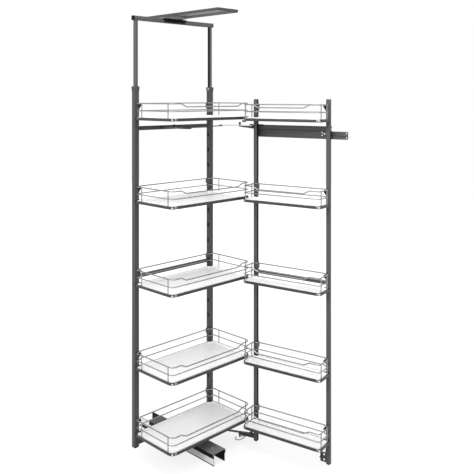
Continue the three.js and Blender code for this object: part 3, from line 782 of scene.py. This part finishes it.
def bar():
    """The downward channel, a short return under each end, and the bolts into the legs."""
    low, top, under = BAR_LOW, BAR_TOP, BAR_TOP - 1.8
    section = bent([(-2.5, low), (-2.5, top), (-17.5, top), (-17.5, low), (-15.7, low), (-15.7, under),
                    (-4.3, under), (-4.3, low)], [0.4, 1.5, 1.5, 0.4, 0.4, 0.8, 0.8, 0.4], steps=4)
    shape = Shape(carried(section, [(-BAR_REACH, 0, 0), (BAR_REACH, 0, 0)]))
    for end in (-1, 1):
        shape.grid(beside(end, BAR_REACH - 40, BAR_REACH - 1, 4.4, 15.6, low, low + 1.8, 0.6, 0.3))
        shape.grid(button((end * INNER_X, 2.7, low + 8.5), "y", -1, 0.9))
    return shape


def carriage():
    """A nylon block: its seat on the bar, the wide wing in the track and the pad above it."""
    return Shape(block(0, INNER_MIDDLE, 40, 9, BAR_TOP + 0.3, BAR_TOP + 5.3, 2, 0.6),
                 block(0, INNER_MIDDLE, 51.5, 16, BAR_TOP + 4.8, BAR_TOP + 14.2, 4, 1.2),
                 block(0, INNER_MIDDLE, 45.5, 12, BAR_TOP + 13.2, BAR_TOP + 16.2, 3, 0.8))


def track():
    """A shallow channel with rolled edges, and the plate that closes its front."""
    lip, under, top = TRACK_LIP, TRACK_LIP + 9.5, TRACK_LIP + 11
    section = bent([(-54, lip), (-52.5, lip), (-52.5, under), (52.5, under), (52.5, lip), (54, lip),
                    (54, top), (-54, top)], [0.5, 0.5, 0.8, 0.8, 0.5, 0.5, 2, 2], steps=4)
    shape = Shape(carried(section, [(0, TRACK_FRONT, 0), (0, TRACK_REAR, 0)]))
    return shape.grid(slab(-52.6, 52.6, TRACK_FRONT, TRACK_FRONT + 1.5, lip, under + 0.1, 0.3, 0.2))


def track_lining():
    """A thin skin on the inside of the track."""
    low, high = TRACK_LIP + 0.3, TRACK_LIP + 9.4
    section = [(-52.3, low), (-52.3, high), (52.3, high), (52.3, low), (52, low), (52, high - 0.15),
               (-52, high - 0.15), (-52, low)]
    return Shape(carried(section, [(0, TRACK_FRONT + 1.8, 0), (0, TRACK_REAR - 0.2, 0)]))


screws = Shape()
for name, side in (("left", -1), ("right", 1)):
    x, channel_leg = side * INNER_X, f"yoke_leg_{name}"
    screws.grid(button((x - side * 11.6, INNER_MIDDLE - 3, 1426), "x", -side, 1.3))
    piece(f"post_collar_{name}", collar(x), node=f"collar_{name}", coating="anthracite")
    # painted shade: a black strip stands for the dark inside of each leg's open channel
    piece(f"leg_painted_shade_{name}", leg_painted_shade(side), like=channel_leg, finish="black_plastic")
    piece(f"telescopic_leg_{name}", leg(x, side), node=channel_leg, coating="satin_steel")
piece("collar_screws", screws, like="collar_left", finish="zinc")
piece("yoke_channel", bar(), node="yoke_bar", coating="satin_steel")
caps = pair(BAR_REACH - 4, BAR_REACH + 1.5, 2.3, 17.7, BAR_LOW - 0.2, BAR_TOP + 0.2, 0.8, 0.4)
piece("yoke_bar_caps", caps, like="yoke_bar", finish="black_plastic")
# painted light: the carriage is coated pale so that it reads lit inside the track's shade
piece("glide_carriage", carriage(), node="top_carriage", coating="pale_lining_and_painted_light")
low, high = BAR_LOW + 3.5, BAR_TOP + 1.5
skirt = bent([(-68, high), (-56, low), (46, low), (58, high)], 1.5, steps=3)
skirt = Shape().sheet([skirt], 2.4, (0, 1.0, 0), *UPRIGHT)
piece("carriage_skirt", skirt, like="top_carriage", finish="black_plastic")
piece("ceiling_channel", track(), node="top_track")
piece("ceiling_channel_lining", track_lining(), like="top_track", finish="zinc", coating="pale_lining_and_painted_light")
print("yoke and ceiling track")

# %% [markdown]
# ## Cross members and the floor runner
# Folded bars hold the posts apart: two in the inner frame, and a thin one at half height in each frame.
# Under the lowest basket the unit stands on a sheet cover that slides over a fixed rail. The rail is
# coated black, partly its dark steel and partly painted shade under the cover; its walls carry white
# bands, the zinc ball rails with a painted highlight; and the cover's flanges carry black strips of
# painted shade. The cover's light grey is painted light where the basket above shades it.


# %% Cross members, rail, cover, glides and carriage plate
RUNNER_FRONT, RAIL_REAR, COVER_REAR = -254, 190, 132
RAIL_WALL, RAIL_TOP, COVER_TOP, CROSS_REACH = (27, 28.5), 40, 46, INNER_X - 10.3


def channel(left, right, front, z0, z1, depth=13.8):
    """A channel open to the back, carried from left to right."""
    back, web = -front - depth, -front - 1.8
    section = bent([(-front, z0), (back, z0), (back, z0 + 1.8), (web, z0 + 1.8), (web, z1 - 1.8),
                    (back, z1 - 1.8), (back, z1), (-front, z1)],
                   [1.6, 0.4, 0.4, 0.7, 0.7, 0.4, 0.4, 1.6], steps=4)
    return Shape(carried(section, [(left, 0, 0), (right, 0, 0)]))


def cross_member(z0, z1):
    """The channel between the inner posts, with a button head near each post."""
    shape = channel(-CROSS_REACH, CROSS_REACH, 0.2, z0, z1)
    for x in (9 - CROSS_REACH, CROSS_REACH - 9):
        shape.grid(button((x, 0.2, (z0 + z1) / 2), "y", -1))
    return shape


def rail():
    """Two walls with a stop on the rear end of one, and a base with screw holes."""
    shape = pair(*RAIL_WALL, RUNNER_FRONT, RAIL_REAR, 0, RAIL_TOP, 0.3, 0.3)
    shape.grid(slab(*RAIL_WALL, RAIL_REAR - 48, RAIL_REAR, RAIL_TOP - 0.5, COVER_TOP, 0.3, 0.3))
    holes = [ring(3, (0, y)) for y in (-140, -20, 150)]
    base = block_outline(-27.02, 27.02, -180, RAIL_REAR, 0.4, 2)
    return shape.sheet([base] + holes, 2, (0, 0, 1), edge=0.25)


def cover():
    """A channel turned over the rail, its flanges 16 tall."""
    low, under, top = COVER_TOP - 16, COVER_TOP - 2, COVER_TOP
    section = bent([(-32.3, low), (-30.3, low), (-30.3, under), (30.3, under), (30.3, low), (32.3, low),
                    (32.3, top), (-32.3, top)], [0.5, 0.5, 1.2, 1.2, 0.5, 0.5, 1.6, 1.6], steps=4)
    return Shape(carried(section, [(0, RUNNER_FRONT, 0), (0, COVER_REAR, 0)]))


def glide(side):
    """A nylon cap on a wall of the rail, with a lip down each of its sides."""
    middle, y, length = side * 27.75, -155, 95
    shape = Shape(block(middle, y, 2.1, length, RAIL_TOP + 0.3, RAIL_TOP + 3.7, 1.2, 0.6))
    for wall in (-1.6, 1.6):
        shape.grid(block(middle + wall, y, 0.5, length, RAIL_TOP - 8, RAIL_TOP + 0.6, 0.3, 0.2))
    return shape


PIVOT = (-62.0, -142.0)
HEAD = [(4, 0), (4, 3.2), (7.4, 3.2), (7.4, 4.0), (7, 6.2), (6.2, 6.9), (2.6, 6.9), (2.6, 4.6)]


def pin(x, y, low, top):
    """A headed pivot pin: a washer under the head, and a drive in it."""
    profile = np.array(HEAD) + (0, top - 6.9)
    profile[0, 1] = low
    return turned(profile, (x, y, 0), 24)


def carriage_plate():
    """The plate on the cover, its arm to the lower pivot, and the upstand to the cross member."""
    outline = bent([(28, 60), (-28, 60), (-28, -125), (-77, -127), (-77, -157), (-12, -154), (28, -154)],
                   [5, 5, 6, 14, 14, 20, 5], steps=6)
    shape = Shape().sheet([outline, ring(2.6, (16, 44)), ring(2.6, (-16, 44)), ring(2.6, (16, -138))], 3,
                          (0, 0, 47.8))
    upstand = block_outline(-28, 28, 48.4, 84, [0.4, 0.4, 5, 5])
    shape.sheet([upstand], 1.8, (0, -1, 0), *UPRIGHT)
    for x in (-18, 18):
        shape.grid(button((x, -1.9, 73), "y", -1))
    return shape.grid(pin(*PIVOT, 48.3, 57.3))


piece("cross_channel_lower", cross_member(50, 86), node="inner_crossbar_lower", coating="dark_steel")
piece("cross_channel_upper", cross_member(1264, 1280), node="inner_crossbar_upper")
middle_bar = channel(-CROSS_REACH, CROSS_REACH, 7.2, LEVELS[2] + 28, LEVELS[2] + 41, 12.4)
piece("middle_bar_inner", middle_bar, like="inner_crossbar_upper", finish="anthracite")
left, right = DOOR_XS["left"] + 7.8, DOOR_XS["right"] - 7.8
middle_bar = channel(left, right, DOOR_FRONT + 6, DOOR_LEVELS[2] + 22, DOOR_LEVELS[2] + 36, 8.6)
piece("middle_bar_door", middle_bar, DOOR, like="door_crossbar", finish="anthracite")
# partly painted shade: the rail is coated black, darker than its dark steel, where it stands in the
# cover's shade
piece("floor_rail", rail(), node="runner_rail", coating="black_plastic")
# painted highlight: the zinc ball rails' sides, coated white so that they read as their bright reflection
painted_highlight_bands = pair(28.3, 29.1, RUNNER_FRONT + 1, 140, 4.5, 27, 0.3, 0.3)
for side in (-1, 1):
    painted_highlight_bands.grid(beside(side, 28.3, 29.1, 140.5, RAIL_REAR - 1, 13, 39, 0.3, 0.3))
piece("rail_painted_highlight_bands", painted_highlight_bands, like="runner_rail", finish="zinc", coating="white_tray")
# painted light: the cover is coated light grey so that it reads lit under the basket's shade
piece("sliding_cover", cover(), node="runner_cover", coating="painted_light_grey")
# painted shade: black strips on the cover's flanges stand for the shade under its top
painted_shade_strips = pair(32.2, 32.7, RUNNER_FRONT + 1.5, COVER_REAR - 1, 29.6, 44.8, 0.2, 0.2)
piece("cover_painted_shade_strips", painted_shade_strips, like="runner_cover", finish="black_plastic")
rivet = Shape(turned([(5, -0.4), (5, 0.3), (4.2, 1.0), (2.4, 1.4)], (0, -214, COVER_TOP), 20))
piece("cover_rivet", rivet, like="runner_cover", finish="zinc")
rear_plate = slab(-30.5, 30.5, 62, COVER_REAR - 0.2, COVER_TOP - 0.1, COVER_TOP + 1.3, 3, 0.4)
piece("cover_rear_plate", Shape(rear_plate), like="runner_cover", finish="dark_steel")
for name, side in (("left", -1), ("right", 1)):
    piece(f"glide_cap_{name}", glide(side), node=f"glide_{name}")
piece("cover_plate", carriage_plate(), node="carriage_plate", coating="dark_steel")
print("cross members and floor runner")

# %% [markdown]
# ## The links
# The two arms turn on the inner frame and carry the door frame. Each is two flat straps at two
# heights, riveted at the elbow: the lower arm has to pass under the lowest tray.


# %% Link arms and the upper seat
DOOR_PIN, ELBOW = (212.0, -219.0), (150.0, -105.0)


def strap(start, end, width, end_width=None):
    """The outline of a strip with round ends: a half circle round each of the two points."""
    start, end = np.array(start), np.array(end)
    heading = math.atan2(*(end - start)[::-1])
    turn = heading + np.linspace(-math.pi / 2, math.pi / 2, 13)
    nose = np.column_stack([np.cos(turn), np.sin(turn)])
    return np.vstack([end + nose * (end_width or width) / 2, start - nose * width / 2])


def link(strap_z, arm_z):
    """The strap by the door, the wider arm to the frame's pivot, and the rivet between them."""
    door_half, frame_half = Shape(), Shape()
    door_half.sheet([strap(DOOR_PIN, ELBOW, 12), ring(4.3, DOOR_PIN)], 3, (0, 0, strap_z + 1.5), edge=0.4)
    collar_ring = [(8, -1.5), (8, 1.5), (4.3, 1.5), (4.3, -1.5)]
    door_half.grid(turned(collar_ring, (*DOOR_PIN, strap_z + 1.5), 28), wrap_rows=True)
    frame_half.sheet([strap(ELBOW, PIVOT, 16, 22), ring(4.3, PIVOT)], 3, (0, 0, arm_z + 1.5), edge=0.4)
    low, high = sorted((strap_z, arm_z))
    rivet = [(5.2, low - 1.2), (6.4, low - 0.2), (6.4, low),
             (6.4, high + 3), (6.4, high + 3.4), (5.2, high + 4.4)]
    door_half.grid(turned(rivet, (*ELBOW, 0), 24))
    return door_half, frame_half


def link_seat(z):
    """A strap under the cross member with an upstand on its front, and the pin."""
    shape = Shape().sheet([strap(PIVOT, (PIVOT[0], -16), 30)], 3, (0, 0, z + 1.5), edge=0.4)
    face = block_outline(PIVOT[0] - 15, PIVOT[0] + 15, z - 5, z + 9, 2)
    shape.sheet([face], 1.8, (0, -1, 0), *UPRIGHT)
    return shape.grid(pin(*PIVOT, z + 2, z + 11))


for name, strap_z, arm_z in (("lower", 28, 50.3), ("upper", 1276, 1273.6)):
    door_half, frame_half = link(strap_z, arm_z)
    piece(f"link_strap_{name}", door_half, node=f"link_{name}")
    piece(f"link_arm_{name}", frame_half, like=f"link_{name}", finish="dark_steel")
bolt = Shape(button((-10, 0.2, 1277.5), "y", -1, 1.7))
piece("cross_member_bolt", bolt, like="inner_crossbar_upper", finish="black_plastic")
piece("upper_pivot_seat", link_seat(1270), node="link_seat_upper")
print("links")

# %% [markdown]
# ## The door frame's fittings
# The door plate's rib is fixed to the two posts, its web lies on the door and runs past the right
# post as a drilled tongue. At the link side, two tapered arms reach back to the guide pins, and each
# carries the tab on which its link turns.


# %% Door plate, foot bracket, arms and catch wire
DOOR_BACK = DOOR_FRONT + DOOR_TUBE.size


def door_plate():
    """The punched web as a sheet on edge, and the folded rib above it carried along the door."""
    rib, door = DOOR_BACK + 0.3, DOOR_BACK + 7.3
    low, fold, high = 1232, 1262, 1281
    left, right, end = DOOR_XS["left"] - 11, DOOR_XS["right"] + 7, 397
    outline = block_outline(left, end, low, fold, [1, 5, 5, 1])
    holes = [ring(3.2, (299, low + 20))] + [ring(2.6, centre) for centre in (
        (end - 7, low + 7), (end - 7, fold - 7), (289, low + 14), (289, fold - 5))]
    shape = Shape().sheet([outline] + holes, 2, (0, door - 1, 0), *UPRIGHT)
    section = bent([(-door, fold - 1), (-door, fold), (-rib - 2, fold + 4), (-rib - 2, high - 8),
                    (-door, high - 4), (-door, high), (2 - door, high), (2 - door, high - 3.2),
                    (-rib, high - 7.2), (-rib, fold + 3.2), (2 - door, fold - 0.8)],
                   [0.2, 1.5, 2, 1, 1.5, 0.4, 0.4, 2, 1, 2, 0.3], steps=3)
    return shape.grid(carried(section, [(left, 0, 0), (right, 0, 0)]))


def foot_bracket():
    """Two drilled leaves at a right angle, and the peg that finds the door."""
    side = DOOR_XS["right"] - 7.8
    along = block_outline(DOOR_FRONT, DOOR_BACK, 8, 60, [0.4, 0.4, 4, 0.4])
    shape = Shape().sheet([along], 2, (side - 1, 0, 0), (0, 1, 0), (0, 0, 1))
    front = block_outline(side - 24, side - 0.4, 8, 45, [4, 0.4, 0.4, 4])
    holes = [ring(3.8, (side - 8, z), 28) for z in (17, 36)]
    shape.sheet([front] + holes, 2, (0, DOOR_FRONT + 1, 0), *UPRIGHT)
    peg = [(2.4, 0.6), (2.4, -8), (1.9, -8.5)]
    return shape.grid(turned(peg, (side - 21, DOOR_FRONT, 27), 18, "y"))


def door_arm(root_z, tip_z, tab_z, pin_top, guide_z):
    """A tapered web on edge, its root block by the post, the pivot tab and the guide pin."""
    side = DOOR_XS["left"] - 7.8
    root, tip = np.array([side - 1.5, DOOR_FRONT + 7.5]), np.array([-69.0, 71.6])
    run = tip - root
    length = float(np.hypot(*run))
    run = run / length
    across = np.array([run[1], -run[0]])
    web = bent([(0, root_z[0]), (length + 2, tip_z[0]), (length + 2, tip_z[1]), (0, root_z[1])],
               [0.3, 1, 1, 0.3], steps=3)
    shape = Shape().sheet([web], 3, (*(root + across * 1.5), 0), (*run, 0), (0, 0, 1), edge=0.4)
    shape.grid(slab(side - 2.5, side, DOOR_FRONT + 4, DOOR_BACK, *root_z, 0.8))
    x, y = PIN_IN_DOOR
    shape.sheet([strap((x, y), (x - 2, DOOR_FRONT + 2), 16)], 3, (0, 0, tab_z + 1.5), edge=0.4)
    shape.grid(pin(x, y, tab_z + 2, pin_top))
    low, high = guide_z
    guide = [(3.1, low), (3.5, low + 0.6), (3.5, high - 5.6),
             (5.4, high - 5), (5.4, high - 1), (4.2, high)]
    return shape.grid(turned(guide, (*tip, 0), 20))


def catch():
    """A bent wire under the arm's tip."""
    plan = [(-66, 68), (-47, 88), (-46, 66), (-52, 39), (-66, 37), (-76, 47), (-74, 56)]
    route = bent([(x, y, 9) for x, y in plan], [1, 5, 6, 7, 5, 4, 1], steps=6, closed=False)
    return Shape(carried(circle(1.8), route))


PIN_IN_DOOR = ((np.array([*DOOR_PIN, 0.0]) - DOOR.origin) @ DOOR.rows.T)[:2]
piece("door_web", door_plate(), DOOR, "door_crossbar")
piece("foot_leaves", foot_bracket(), DOOR, "door_foot_bracket")
for name, measures in (("lower", ((7, 27), (13, 20), 24.4, 36, (4, 20))),
                       ("upper", ((1264, 1281), (1272, 1275), 1272.4, 1284, (1272, 1290)))):
    piece(f"arm_{name}", door_arm(*measures), DOOR, f"door_arm_{name}")
piece("catch_loop", catch(), DOOR, "catch_wire", coating="chrome_wire")
knob = [(4, LEVELS[4] - 1), (4, 1299), (7.5, 1299), (8.2, 1297.5), (8.2, 1294), (7.2, 1292.6)]
knob = Shape(turned(knob, (186, -204, 0), 18))
piece("basket_buffer", knob, like="inner_rim_5", finish="black_plastic")
piece("arm_tongue", Shape(slab(6.9, 29, 92, 96, 1277.5, 1283, 0.8)), DOOR, like="door_arm_upper",
      finish="black_plastic")
print("door frame fittings; the pin in the door's axes:", PIN_IN_DOOR.round(1))
